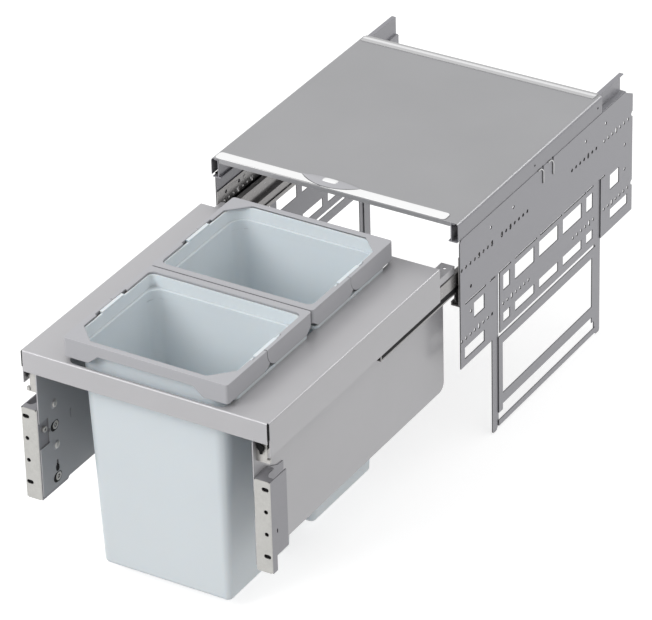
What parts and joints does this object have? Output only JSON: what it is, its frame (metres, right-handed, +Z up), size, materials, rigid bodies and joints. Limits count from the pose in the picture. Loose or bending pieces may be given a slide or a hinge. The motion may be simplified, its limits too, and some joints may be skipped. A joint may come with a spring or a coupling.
{
  "type": "pull-out waste unit",
  "caption": "Under-sink pull-out waste unit: lift-out bins with folding bails in a drawer on over-extension rails, a slide-out lid shelf and perforated side plates.",
  "frame": {"origin": "bottom centre of the bounding box with the drawer pulled out: the cabinet floor under the leg frames, midway between the side plates", "axes": "+X to the right seen from the front, +Y into the cabinet along the drawer's travel, +Z up"},
  "size_m": [0.365, 0.9302, 0.3642],
  "materials": {
    "plate_steel": "satin powder coat",
    "lid_steel": "satin powder coat",
    "deck_steel": "satin powder coat",
    "zinc": "galvanised",
    "black_plastic": "matt moulded",
    "bin_plastic": "fine moulded",
    "bail_plastic": "fine moulded",
    "white_plastic": "smooth",
    "grip_plastic": "fine moulded"
  },
  "bodies": {
    "cabinet_frame": {"side_plate_left": "plate_steel", "side_plate_right": "plate_steel", "leg_frame_left": "plate_steel", "leg_frame_right": "plate_steel", "cabinet_rail_left": "zinc", "cabinet_rail_right": "zinc", "rail_buffer_left": "black_plastic", "rail_buffer_right": "black_plastic", "top_rail_left": "plate_steel", "top_rail_right": "plate_steel", "rail_clips_left": "plate_steel", "rail_clips_right": "plate_steel"},
    "middle_left": {"middle_rail_left": "zinc", "runner_left": "black_plastic"},
    "middle_right": {"middle_rail_right": "zinc", "runner_right": "black_plastic"},
    "drawer": {"deck": "deck_steel", "deck_hanger_left": "deck_steel", "deck_hanger_right": "deck_steel", "drawer_side_left": "deck_steel", "drawer_side_right": "deck_steel", "rollers_left": "black_plastic", "rollers_right": "black_plastic", "catch_left": "zinc", "catch_right": "zinc", "front_bracket_left": "zinc", "front_bracket_right": "zinc", "adjuster_left": "zinc", "adjuster_right": "zinc"},
    "front_bin": {"bin_front": "bin_plastic"},
    "rear_bin": {"bin_rear": "bin_plastic"},
    "front_bail_outer": {"bail_front_outer": "bail_plastic"},
    "front_bail_inner": {"bail_front_inner": "bail_plastic"},
    "rear_bail_outer": {"bail_rear_outer": "bail_plastic"},
    "rear_bail_inner": {"bail_rear_inner": "bail_plastic"},
    "lid_shelf": {"lid": "lid_steel", "lid_front_strip": "white_plastic", "lid_rear_strip": "white_plastic", "lid_grip": "grip_plastic", "lid_glide_left": "black_plastic", "lid_glide_right": "black_plastic"}
  },
  "joints": [
    {"name": "drawer_slide", "type": "slide", "parent": "cabinet_frame", "child": "drawer", "axis": [0, -1, 0], "range_m": [-0.45, 0]},
    {"name": "middle_slide_left", "type": "slide", "parent": "cabinet_frame", "child": "middle_left", "axis": [0, -1, 0], "range_m": [-0.226, 0.001]},
    {"name": "middle_slide_right", "type": "slide", "parent": "cabinet_frame", "child": "middle_right", "axis": [0, -1, 0], "range_m": [-0.226, 0.001]},
    {"name": "lid_slide", "type": "slide", "parent": "cabinet_frame", "child": "lid_shelf", "axis": [0, 1, 0], "range_m": [-0.3, 0]},
    {"name": "front_bin_lift", "type": "slide", "parent": "drawer", "child": "front_bin", "axis": [0, 0, 1], "range_m": [0, 0.34]},
    {"name": "rear_bin_lift", "type": "slide", "parent": "drawer", "child": "rear_bin", "axis": [0, 0, 1], "range_m": [0, 0.34]},
    {"name": "front_bail_outer_pivot", "type": "hinge", "parent": "front_bin", "child": "front_bail_outer", "pos_m": [0, -0.37265, 0.342], "axis": [-1, 0, 0], "range_deg": [0, 90]},
    {"name": "front_bail_inner_pivot", "type": "hinge", "parent": "front_bin", "child": "front_bail_inner", "pos_m": [0, -0.34065, 0.342], "axis": [1, 0, 0], "range_deg": [0, 90]},
    {"name": "rear_bail_outer_pivot", "type": "hinge", "parent": "rear_bin", "child": "rear_bail_outer", "pos_m": [0, -0.14415, 0.342], "axis": [1, 0, 0], "range_deg": [0, 90]},
    {"name": "rear_bail_inner_pivot", "type": "hinge", "parent": "rear_bin", "child": "rear_bail_inner", "pos_m": [0, -0.17615, 0.342], "axis": [-1, 0, 0], "range_deg": [0, 90]}
  ],
  "couplings": [
    {"joint": "middle_slide_left", "follows": "drawer_slide", "ratio": 0.5},
    {"joint": "middle_slide_right", "follows": "drawer_slide", "ratio": 0.5}
  ]
}
